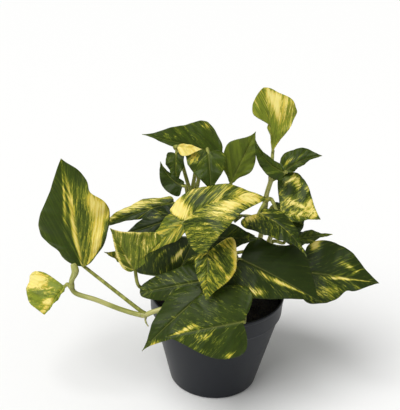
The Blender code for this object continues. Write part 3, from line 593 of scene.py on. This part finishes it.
def merge_doubles(obj, distance=WELD, outward=False):
    pick(obj)
    bpy.ops.object.mode_set(mode="EDIT")
    bpy.ops.mesh.select_all(action="SELECT")
    bpy.ops.mesh.remove_doubles(threshold=distance)
    if outward:
        bpy.ops.mesh.normals_make_consistent(inside=False)
    bpy.ops.object.mode_set(mode="OBJECT")


def apply_modifier(obj, kind, **settings):
    pick(obj)
    bpy.ops.object.modifier_add(type=kind)
    modifier = obj.modifiers[-1]
    for key, value in settings.items():
        setattr(modifier, key, value)
    bpy.ops.object.modifier_apply(modifier=modifier.name)


def finish_piece(obj, node, material):
    """Dresses a finished piece and puts it in the place of its node."""
    obj.data.materials.clear()
    obj.data.materials.append(material)
    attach(obj, "root")
    if node:
        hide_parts(node)


def unit(vector):
    vector = np.asarray(vector, float)
    return vector / np.linalg.norm(vector)


def smooth_line(points, steps):
    """Catmull-Rom points through the given ones, with `steps` in each span."""
    knots = np.asarray(points, float)
    knots = np.vstack([2 * knots[0] - knots[1], knots, 2 * knots[-1] - knots[-2]])
    line = []
    for a, b, c, d in zip(knots, knots[1:], knots[2:], knots[3:]):
        for step in range(steps):
            t = step / steps
            line.append(0.5 * (2 * b + (c - a) * t + (2 * a - 5 * b + 4 * c - d) * t**2
                               + (3 * b - a - 3 * c + d) * t**3))
    line.append(knots[-2])
    return np.array(line)


def tube(name, line, radii, resolution=3):
    """A closed tube along the points, in millimetres, with its caps welded on."""
    deselect()
    bpy.ops.curve.primitive_nurbs_path_add()
    wire = bpy.context.object
    wire.location = (0, 0, 0)
    wire.name = name
    curve = wire.data
    curve.splines.clear()
    curve.bevel_depth = MM
    curve.bevel_resolution = resolution
    curve.use_fill_caps = True
    spline = curve.splines.new("POLY")
    spline.points.add(len(line) - 1)
    for point, place, radius in zip(spline.points, line, radii):
        point.co = (*(np.asarray(place) * MM), 1.0)
        point.radius = radius
    pick(wire)
    bpy.ops.object.convert(target="MESH")
    wire = bpy.context.object
    merge_doubles(wire, outward=True)
    return wire


def turned(name, profile, steps):
    """A closed ring solid from a closed profile of (radius, height), run down its outer side first."""
    deselect()
    bpy.ops.mesh.primitive_circle_add(vertices=len(profile), radius=1.0)
    obj = bpy.context.object
    obj.name = name
    move_points(obj, [(radius * MM, 0.0, height * MM) for radius, height in profile])
    bpy.context.tool_settings.mesh_select_mode = (False, True, False)
    bpy.ops.object.mode_set(mode="EDIT")
    bpy.ops.mesh.select_all(action="DESELECT")
    bpy.ops.object.mode_set(mode="OBJECT")
    for edge in obj.data.edges:
        edge.select = all(obj.data.vertices[index].co.x < ON_AXIS for index in edge.vertices)
    bpy.ops.object.mode_set(mode="EDIT")
    bpy.ops.mesh.delete(type="EDGE")
    bpy.context.tool_settings.mesh_select_mode = (True, False, False)
    bpy.ops.object.mode_set(mode="OBJECT")
    apply_modifier(obj, "SCREW", steps=steps, render_steps=steps, use_merge_vertices=True,
                   merge_threshold=0.5 * WELD)
    merge_doubles(obj, 0.5 * WELD, outward=True)
    return obj


def rounded(points, radius, steps=4):
    """A closed profile with its corners off the axis rounded to a radius, or less where sides are short."""
    made = []
    for index, corner in enumerate(points):
        corner = np.array(corner, float)
        before = np.array(points[index - 1], float) - corner
        after = np.array(points[(index + 1) % len(points)], float) - corner
        reach = min(radius, 0.45 * np.linalg.norm(before), 0.45 * np.linalg.norm(after))
        if corner[0] < 1e-6:
            made.append(tuple(corner))
            continue
        start, end = corner + unit(before) * reach, corner + unit(after) * reach
        for step in range(steps + 1):
            t = step / steps
            made.append(tuple(start * (1 - t) ** 2 + corner * 2 * t * (1 - t) + end * t**2))
    return made


def wall_radius(height):
    return BASE_RADIUS + (BODY_TOP_RADIUS - BASE_RADIUS) * height / (POT_HEIGHT - BAND_HEIGHT)


def build_pot(settings):
    """A thin tapered pot with a deeper band, a rolled lip, a foot ring and holes in its raised floor."""
    band_bottom = POT_HEIGHT - BAND_HEIGHT
    floor_edge = BASE_RADIUS - FOOT_WIDTH
    outer = [
        (RIM_RADIUS - 0.2, POT_HEIGHT),
        (RIM_RADIUS, POT_HEIGHT - 1.0),
        (RIM_RADIUS - 0.05, POT_HEIGHT - 2.6),
        (RIM_RADIUS - 0.55, POT_HEIGHT - 3.1),
        (RIM_RADIUS - 1.15, band_bottom + 0.7),
        (RIM_RADIUS - 1.7, band_bottom),
        (BODY_TOP_RADIUS + 0.1, band_bottom - 0.5),
        (wall_radius(band_bottom - 3.0), band_bottom - 3.0),
        (wall_radius(1.2), 1.2),
        (BASE_RADIUS - 1.2, 0),
    ]
    inner = [
        (floor_edge + 1.0, 0),
        (floor_edge, FOOT_HEIGHT),
        (14.0, FOOT_HEIGHT),
        (12.0, 0),
        (0, 0),
        (0, 1.6),
        (11.0, 1.6),
        (13.0, FOOT_HEIGHT + 1.6),
        (BASE_RADIUS - WALL - 1.5, FOOT_HEIGHT + 1.6),
        (wall_radius(5.0) - WALL, 5.0),
        (BODY_TOP_RADIUS - WALL, band_bottom - 0.4),
        (RIM_RADIUS - WALL - 1.4, band_bottom + 1.4),
        (RIM_RADIUS - WALL - 0.3, POT_HEIGHT),
    ]
    pot = turned("nursery_pot", rounded(outer + inner, settings.lip / MM), settings.steps)
    for index in range(DRAIN_HOLES):
        angle = 2 * math.pi * index / DRAIN_HOLES
        deselect()
        bpy.ops.mesh.primitive_cylinder_add(
            vertices=32, radius=DRAIN_RADIUS * MM, depth=0.008,
            location=(DRAIN_RING * MM * math.cos(angle), DRAIN_RING * MM * math.sin(angle), 0.003))
        drill = bpy.context.object
        apply_modifier(pot, "BOOLEAN", operation="DIFFERENCE", object=drill, solver="EXACT")
        bpy.data.objects.remove(drill, do_unlink=True)
    pick(pot)
    bpy.ops.object.shade_smooth_by_angle(angle=math.radians(35))
    finish_piece(pot, "pot", moulded_plastic(settings))


def peat_height(x, y):
    """The peat's surface: a low mound with clods and pores, in millimetres."""
    radius = math.hypot(x, y)
    mound = SOIL_TOP + SOIL_MOUND * (1 - (radius / 55) ** 2)
    clods = noise.fractal(Vector((x, y, 7.0)) / 9.0, 1.0, 2.0, 4)
    edge = min(1.0, max(0.0, (56 - radius) / 5))
    return mound + edge * (1.1 * clods)


def build_soil(settings):
    """Peat filling the pot, rough on top, with loose crumbs."""
    floor = FOOT_HEIGHT + 1.6 + 0.7
    band_bottom = POT_HEIGHT - BAND_HEIGHT
    low = wall_radius(7.0) - WALL - 0.8
    top = BODY_TOP_RADIUS - WALL - 0.8
    rings = 44
    profile = [(top * k / rings, SOIL_TOP) for k in range(rings)]
    profile += [(top + 0.5, SOIL_TOP - 1.4), (top, band_bottom - 2)]
    profile += [(low, 7.0), (low - 2.5, floor), (0, floor)]
    soil = turned("peat_filling", profile, 132)
    places = points_of(soil)
    for place in places:
        if place[2] > (SOIL_TOP - 0.5) * MM:
            place[2] = peat_height(place[0] / MM, place[1] / MM) * MM
    move_points(soil, places)
    pick(soil)
    bpy.ops.object.shade_smooth()
    material = moist_peat(settings)
    finish_piece(soil, "soil", material)

    deselect()
    bpy.ops.mesh.primitive_ico_sphere_add(subdivisions=1, radius=1.0)
    crumb = bpy.context.object
    shape = points_of(crumb)
    faces = np.array([tuple(face.vertices) for face in crumb.data.polygons])
    draw = random.Random(11)
    places, corners = [], []
    for index in range(settings.crumbs):
        radius = 54.0 * math.sqrt(draw.random())
        angle = draw.uniform(0, 2 * math.pi)
        x, y = radius * math.cos(angle), radius * math.sin(angle)
        size = settings.crumb / MM * draw.uniform(0.35, 1.0) ** 1.5
        size *= 2.2 if draw.random() < 0.04 else 1.0
        stretch = (draw.uniform(0.6, 1.6), draw.uniform(0.6, 1.3), draw.uniform(0.4, 0.9))
        angle = draw.uniform(0, 6.28)
        turn = Matrix.Rotation(angle, 3, Vector((draw.random(), draw.random(), 1)).normalized())
        lumps = [1 + 0.35 * noise.noise(Vector(point) * 1.7 + Vector((index, 0, 0))) for point in shape]
        local = shape * np.array(lumps)[:, None] * size * np.array(stretch)
        centre = np.array((x, y, peat_height(x, y) + 0.15 * size))
        places.append(local @ np.array(turn).T + centre)
        corners.append(faces + index * len(shape))
    mesh = bpy.data.meshes.new("peat_crumbs")
    mesh.from_pydata((np.vstack(places) * MM).tolist(), [], np.vstack(corners).tolist())
    bpy.data.objects.remove(crumb, do_unlink=True)
    crumbs = bpy.data.objects.new("peat_crumbs", mesh)
    bpy.context.scene.collection.objects.link(crumbs)
    finish_piece(crumbs, None, material)


def stem_line(name, steps=3):
    points = STEMS[name]
    return np.vstack([points[0], smooth_line(points[1:], steps)])


def stem_radius(name, place):
    """The radius at a place from 0 at the foot of the stem to 1 at its end."""
    radius = STEM_RADIUS * (1.0 - 0.12 * place)
    if name == TRAILING_STEM:
        radius = radius * (1 + SHEATH_SWELL * np.exp(-(((place - SHEATH_PLACE) / 0.07) ** 2)))
    return radius


def build_stem(name, settings):
    """A vine with a swelling and a ring scar at each leaf; the trailing stem also has one air root."""
    line = stem_line(name, 12)
    places = np.arange(len(line)) / len(line)
    steps = np.r_[0, np.cumsum(np.linalg.norm(np.diff(line, axis=0), axis=1))]
    radii = stem_radius(name, places)
    scars = np.zeros(len(line))
    coarse = stem_line(name)
    for leaf in LEAVES:
        if leaf.stem != name:
            continue
        place = min(leaf.at, 1.0) * (len(coarse) - 2)
        index = int(place)
        at = coarse[index] + (coarse[index + 1] - coarse[index]) * (place - index)
        gap = np.abs(steps - steps[np.linalg.norm(line - at, axis=1).argmin()])
        radii = radii * (1 + settings.swelling * np.exp(-(gap / 2.6) ** 2))
        scars = np.maximum(scars, 0.55 * np.exp(-((gap - 2.2) / 0.5) ** 2))
    radii[-1] *= 0.75
    vine = tube(name + "_fine", line, radii, 3)
    if name == TRAILING_STEM:
        root_line = smooth_line(AIR_ROOT, 4)
        root = tube("air_root", root_line, np.repeat(AIR_ROOT_RADII, 4)[:len(root_line)], 2)
        pick(vine, root)
        bpy.ops.object.join()
    points = points_of(vine)
    nearest = ((points[:, None, :] / MM - line[None]) ** 2).sum(-1).argmin(1)
    away = points / MM - line[nearest]
    ahead = np.gradient(line, axis=0)[nearest]
    level = np.cross(ahead, (0.3, 0.5, 0.8))
    level /= np.linalg.norm(level, axis=1)[:, None] + 1e-9
    number = np.full(len(points), line[3, 0])
    store(vine, "streak", np.stack([(away * level).sum(1), steps[nearest], number], 1))
    store(vine, "scar", scars[nearest])
    pick(vine)
    bpy.ops.object.shade_smooth()
    return vine


def sided(pair, across):
    return np.where(across > 0, pair[1], pair[0])


def facing(azimuth, elevation):
    """A direction: azimuth 0 looks to the front and 90 to the right, elevation 90 straight up."""
    turn, lift = math.radians(azimuth), math.radians(elevation)
    return np.array([math.sin(turn) * math.cos(lift), -math.cos(turn) * math.cos(lift), math.sin(lift)])


def flat_blade(leaf, across, along, size):
    """The blade laid flat: across runs -1..1 from margin to margin, along 0..1 from the notch to the tip."""
    belly, full, lobe = (sided(pair, across) for pair in (leaf.belly, leaf.full, leaf.lobe))
    out = np.abs(across)
    margin_x = np.sin(math.pi * along**belly) ** (full + leaf.point * along)
    margin_x *= 1 + leaf.uneven * np.sin(7.3 * along + 2.1 * leaf.phase + np.where(across < 0, 2.6, 0.4))
    for side, step, span, share in leaf.bumps:
        margin_x *= 1 + np.where(across * side > 0, share, 0.0) * np.exp(-(((along - step) / span) ** 2))
    notch = np.abs(np.sin(math.pi * np.minimum(1.0, along / LOBE_SPAN))) ** 0.6
    margin_y = along**1.25 - lobe * notch
    rib_y = along**1.6
    x = across * sided(leaf.half, across) * margin_x
    y = size * (rib_y + (margin_y - rib_y) * out - 0.1 * out * (1 - out) * np.sin(math.pi * along))
    return x, y


def midrib(leaf):
    """Points, sideways and upward directions along the midrib, from behind the notch to the tip."""
    steps = np.arange(-LOBE_STEPS, MIDRIB_STEPS + 1) / MIDRIB_STEPS
    down = np.radians(leaf.bend * (steps - 0.5))
    aside = np.radians(leaf.sway * (steps - 0.5))
    ahead = np.stack([np.sin(aside) * np.cos(down), np.cos(aside) * np.cos(down), -np.sin(down)], 1)
    side = np.cross(ahead, (0, 0, 1))
    side /= np.linalg.norm(side, axis=1)[:, None]
    up = np.cross(side, ahead)
    spans = ahead[1:] + ahead[:-1]
    spans /= np.linalg.norm(spans, axis=1)[:, None] * MIDRIB_STEPS
    points = np.vstack([np.zeros(3), np.cumsum(spans, axis=0)])
    points -= points[LOBE_STEPS]
    base, tip = np.array(leaf.base, float), np.array(leaf.tip, float)
    chord = unit(points[-1])
    size = np.linalg.norm(tip - base) / np.linalg.norm(points[-1])
    local_up = unit(np.array([0, 0, 1.0]) - chord * chord[2])
    real_chord = unit(tip - base)
    look = facing(*leaf.faces)
    real_up = unit(look - real_chord * np.dot(look, real_chord))
    turn = (np.outer(np.cross(real_chord, real_up), np.cross(chord, local_up)) + np.outer(real_chord, chord)
            + np.outer(real_up, local_up))
    return points @ turn.T * size, side @ turn.T, up @ turn.T, size


def relief(leaf, across, x, y):
    """Fine height over the blade, in millimetres: a sunk midrib and the puffed skin between the veins."""
    out = np.abs(across)
    along_vein = y - leaf.rise * 0.8 * np.abs(x)
    turn = leaf.phase + np.where(across < 0, 0.5, 0)
    ridge = np.abs(np.sin(math.pi * along_vein / VEIN_SPACING + turn)) ** 0.7 - 0.6
    quilt = leaf.quilt * ridge * np.sin(math.pi * np.clip(out, 0, 1)) ** 0.6
    groove = -0.45 * np.exp(-((x / 0.8) ** 2)) + 0.25 * np.exp(-((np.abs(x) - 2.0) / 1.2) ** 2)
    return quilt + groove


def blade_points(leaf, across, along):
    """The blade's middle surface in millimetres from its base, and its flat places."""
    line, side, up, size = midrib(leaf)
    x, y = flat_blade(leaf, across, along, size)
    place = np.clip(y / size * MIDRIB_STEPS + LOBE_STEPS, 0, len(line) - 1)
    index = np.arange(len(line))
    rib, aside, above = (
        np.stack([np.interp(place, index, values[:, axis]) for axis in range(3)], -1)
        for values in (line, side, up)
    )
    share = np.abs(x) / sided(leaf.half, across)
    tilt = np.radians(sided(leaf.fold, across) + sided(leaf.curl, across) * share)
    envelope = np.abs(across) ** 1.5 * np.sqrt(np.sin(math.pi * np.clip(along, 0, 1)))
    ripple = np.sin(2 * math.pi * leaf.waves * along + leaf.phase + np.where(across < 0, 1.7, 0.0))
    crimp = np.sin(2 * math.pi * leaf.waves * 3.1 * along + 2.3 * leaf.phase + np.where(across < 0, 0.4, 2.0))
    height = np.abs(x) * np.sin(tilt) + leaf.wave * envelope * (ripple + 0.18 * crimp)
    height = height + relief(leaf, across, x, y) * np.sin(math.pi * np.clip(along, 0, 1)) ** 0.3
    return rib + aside * (x * np.cos(tilt))[:, None] + above * height[:, None], x, y


def petiole_line(leaf):
    """The stalk from inside the stem up to the blade, then on under its midrib as the rib."""
    stem = stem_line(leaf.stem)
    place = min(leaf.at, 1.0) * (len(stem) - 2)
    index = int(place)
    start = stem[index] + (stem[index + 1] - stem[index]) * (place - index)
    along_stem = unit(stem[index + 1] - stem[index])
    rib, _, up, size = midrib(leaf)
    base = np.array(leaf.base, float)
    towards = np.array(leaf.via or leaf.base, float) - start
    out = unit(towards - along_stem * np.dot(towards, along_stem))
    # It leans up the stem as it sets out, and at the stem's end it goes straight on.
    first = unit(unit(towards) + 0.6 * along_stem)
    first = first if np.dot(first, out) > 0.05 else unit(first + 0.3 * out)
    skew = math.sqrt(max(0.0, 1 - np.dot(first, out) ** 2))
    thick = max(STEM_RADIUS, stem_radius(leaf.stem, place / len(stem)))
    foot = start + out * (thick + GAP + FOOT_RADIUS * skew)
    inside = start + out * 0.6 - along_stem * 1.5
    if leaf.at >= 1:
        first = along_stem
        foot = stem[-1] + along_stem * (GAP + 0.1)
        inside = stem[-1] - along_stem * 2.5
    reach = np.linalg.norm(base - foot)
    # It comes up to the blade from below, along the first few millimetres of the midrib.
    arrival = unit(rib[LOBE_STEPS + 5] - rib[LOBE_STEPS] + 0.05 * size * unit(base - foot))
    neck = base + rib[LOBE_STEPS] - up[LOBE_STEPS] * 0.5
    before = neck - unit(arrival + 1.2 * up[LOBE_STEPS]) * min(5.0, reach * 0.2)
    lead = 3.0 if leaf.at >= 1 else 0.0
    knots = [inside, foot + first * min(8.0, reach * 0.2 + lead)]
    if leaf.at >= 1:
        knots.insert(1, foot + first)
    if leaf.via:
        knots.append(np.array(leaf.via, float))
    stalk = smooth_line(knots + [before, neck], 9)
    # It thins towards the neck, with a slight knee there and a slight bulge at the foot.
    shares = np.linspace(0, 1, len(stalk))
    radii = FOOT_RADIUS + (NECK_RADIUS - FOOT_RADIUS) * shares
    radii *= 1 + 0.14 * np.exp(-((shares - 0.93) / 0.05) ** 2) + 0.12 * np.exp(-(shares / 0.08) ** 2)
    under, thins = [], []
    for k in range(2, MIDRIB_STEPS - 8, 3):
        radius = 1.05 * (1 - k / (MIDRIB_STEPS - 4)) + 0.12
        sink = (0.5 + radius) * min(1.0, k / 4 + 0.3)
        under.append(base + rib[LOBE_STEPS + k] - up[LOBE_STEPS + k] * sink)
        thins.append(radius)
    return np.vstack([stalk, under]), np.r_[radii, thins]


def pale_share(leaf, across, along):
    """How pale each point of the blade is, from the leaf's share of gold and its marks."""
    pale = np.full(len(across), leaf.gold)
    for place, step, half_width, half_length, amount in leaf.marks:
        pale += amount * np.exp(-((across - place) / half_width) ** 2 - ((along - step) / half_length) ** 2)
    return np.clip(pale, -1.0, 1.6)


def build_leaf(leaf, number, settings):
    """A thin waved blade with veins, its stalk and the rib under it, as one piece."""
    deselect()
    bpy.ops.mesh.primitive_grid_add(x_subdivisions=settings.columns, y_subdivisions=settings.rows, size=2)
    blade = bpy.context.object
    blade.name = leaf.name + "_fine"
    flat = points_of(blade)
    across = np.sign(flat[:, 0]) * np.abs(flat[:, 0]) ** 1.25
    along = np.clip((flat[:, 1] + 1) / 2, 0, 1) ** 0.85
    places, x, y = blade_points(leaf, across, along)
    move_points(blade, (places + np.array(leaf.base)) * MM)
    every = np.ones(len(x))
    store(blade, "streak", np.stack([x + 0.15 * y, y - leaf.rise * np.abs(x), 17.3 * number * every], 1))
    store(blade, "pale", pale_share(leaf, across, along))
    store(blade, "rib", np.exp(-((x / (0.7 * (1.25 - along))) ** 2)))
    store(blade, "green", leaf.green * every)
    store(blade, "cream", leaf.cream * every)
    store(blade, "blade", every)
    merge_doubles(blade)
    upper = len(blade.data.vertices)
    apply_modifier(blade, "SOLIDIFY", thickness=settings.thickness, offset=0.0)
    store(blade, "under", np.arange(len(blade.data.vertices)) >= upper)
    line, radii = petiole_line(leaf)
    stalk = tube(leaf.name + "_stalk", line, radii, 2)
    pick(blade, stalk)
    bpy.ops.object.join()
    bpy.ops.object.shade_smooth()
    return blade


class POTHOS_OT_pot(bpy.types.Operator):
    """Model the nursery pot"""

    bl_idname = "pothos.pot"
    bl_label = "Nursery Pot"

    def execute(self, context):
        build_pot(context.scene.pothos_pot)
        return {"FINISHED"}


class POTHOS_OT_soil(bpy.types.Operator):
    """Model the peat and its crumbs"""

    bl_idname = "pothos.soil"
    bl_label = "Peat"

    def execute(self, context):
        build_soil(context.scene.pothos_soil)
        return {"FINISHED"}


class POTHOS_OT_stems(bpy.types.Operator):
    """Model the vines"""

    bl_idname = "pothos.stems"
    bl_label = "Vines"

    def execute(self, context):
        settings = context.scene.pothos_stem
        skin = fresh_stem(settings)
        for name in STEMS:
            finish_piece(build_stem(name, settings), name, skin)
        return {"FINISHED"}


class POTHOS_OT_leaves(bpy.types.Operator):
    """Model every leaf with its stalk"""

    bl_idname = "pothos.leaves"
    bl_label = "Leaves"

    def execute(self, context):
        settings = context.scene.pothos_leaf
        skin = waxy_leaf(settings, context.scene.pothos_stem)
        for number, leaf in enumerate(LEAVES):
            finish_piece(build_leaf(leaf, number, settings), leaf.name, skin)
        return {"FINISHED"}


class POTHOS_OT_stage(bpy.types.Operator):
    """Set the pale floor, the soft light and the camera"""

    bl_idname = "pothos.stage"
    bl_label = "Stage"

    def execute(self, context):
        settings = context.scene.pothos_stage
        deselect()
        bpy.ops.mesh.primitive_plane_add(size=FLOOR_SIZE)
        floor = context.object
        floor.name = "floor"
        floor.data.materials.append(matt_paper(settings))
        world = bpy.data.worlds.new("soft_studio")
        context.scene.world = world
        world.use_nodes = True
        background = world.node_tree.nodes["Background"]
        background.inputs["Color"].default_value = (1, 1, 1, 1)
        background.inputs["Strength"].default_value = settings.sky
        bpy.ops.object.light_add(type="SUN", location=(-1, -1, 2))
        lamp = context.object
        lamp.data.energy = settings.sun
        lamp.data.angle = math.radians(LAMP_SPREAD)
        lamp.rotation_euler = Vector(LAMP_FROM).to_track_quat("Z", "Y").to_euler()
        bpy.ops.object.camera_add(location=Vector(CAMERA_PLACE) * MM)
        camera = context.object
        forward = Vector(CAMERA_FORWARD).normalized()
        right = forward.cross(Vector((0, 0, 1))).normalized()
        up = right.cross(forward)
        roll = math.radians(CAMERA_ROLL)
        turn = Matrix((right, up, -forward)).transposed() @ Matrix.Rotation(roll, 3, "Z")
        camera.matrix_world = Matrix.Translation(Vector(CAMERA_PLACE) * MM) @ turn.to_4x4()
        camera.data.sensor_fit = "HORIZONTAL"
        camera.data.sensor_width = SENSOR_WIDTH
        camera.data.lens = FOCAL_PIXELS / PHOTO_WIDTH * SENSOR_WIDTH
        camera.data.clip_start = 0.01
        camera.data.clip_end = 50
        context.scene.camera = camera
        context.scene.view_settings.view_transform = "Standard"
        return {"FINISHED"}


OPERATORS = (POTHOS_OT_stage, POTHOS_OT_pot, POTHOS_OT_soil, POTHOS_OT_stems, POTHOS_OT_leaves)
GROUPS = {
    "pothos_pot": PotSettings,
    "pothos_soil": SoilSettings,
    "pothos_stem": StemSettings,
    "pothos_leaf": LeafSettings,
    "pothos_stage": StageSettings,
}


class POTHOS_PT_panel(bpy.types.Panel):
    """The plant's settings and the steps that model it"""

    bl_label = "Potted Pothos"
    bl_space_type = "VIEW_3D"
    bl_region_type = "UI"
    bl_category = "Pothos"

    def draw(self, context):
        for name, group in GROUPS.items():
            box = self.layout.box()
            for key in group.__annotations__:
                box.prop(getattr(context.scene, name), key)
        for operator in OPERATORS:
            self.layout.operator(operator.bl_idname)


def register():
    for item in (*GROUPS.values(), *OPERATORS, POTHOS_PT_panel):
        bpy.utils.register_class(item)
    for name, group in GROUPS.items():
        setattr(bpy.types.Scene, name, PointerProperty(type=group))


def unregister():
    for name in GROUPS:
        delattr(bpy.types.Scene, name)
    for item in reversed((*GROUPS.values(), *OPERATORS, POTHOS_PT_panel)):
        bpy.utils.unregister_class(item)


def main():
    register()
    bpy.ops.pothos.stage()
    bpy.ops.pothos.pot()
    bpy.ops.pothos.soil()
    bpy.ops.pothos.stems()
    bpy.ops.pothos.leaves()


if __name__ == "__main__":
    main()
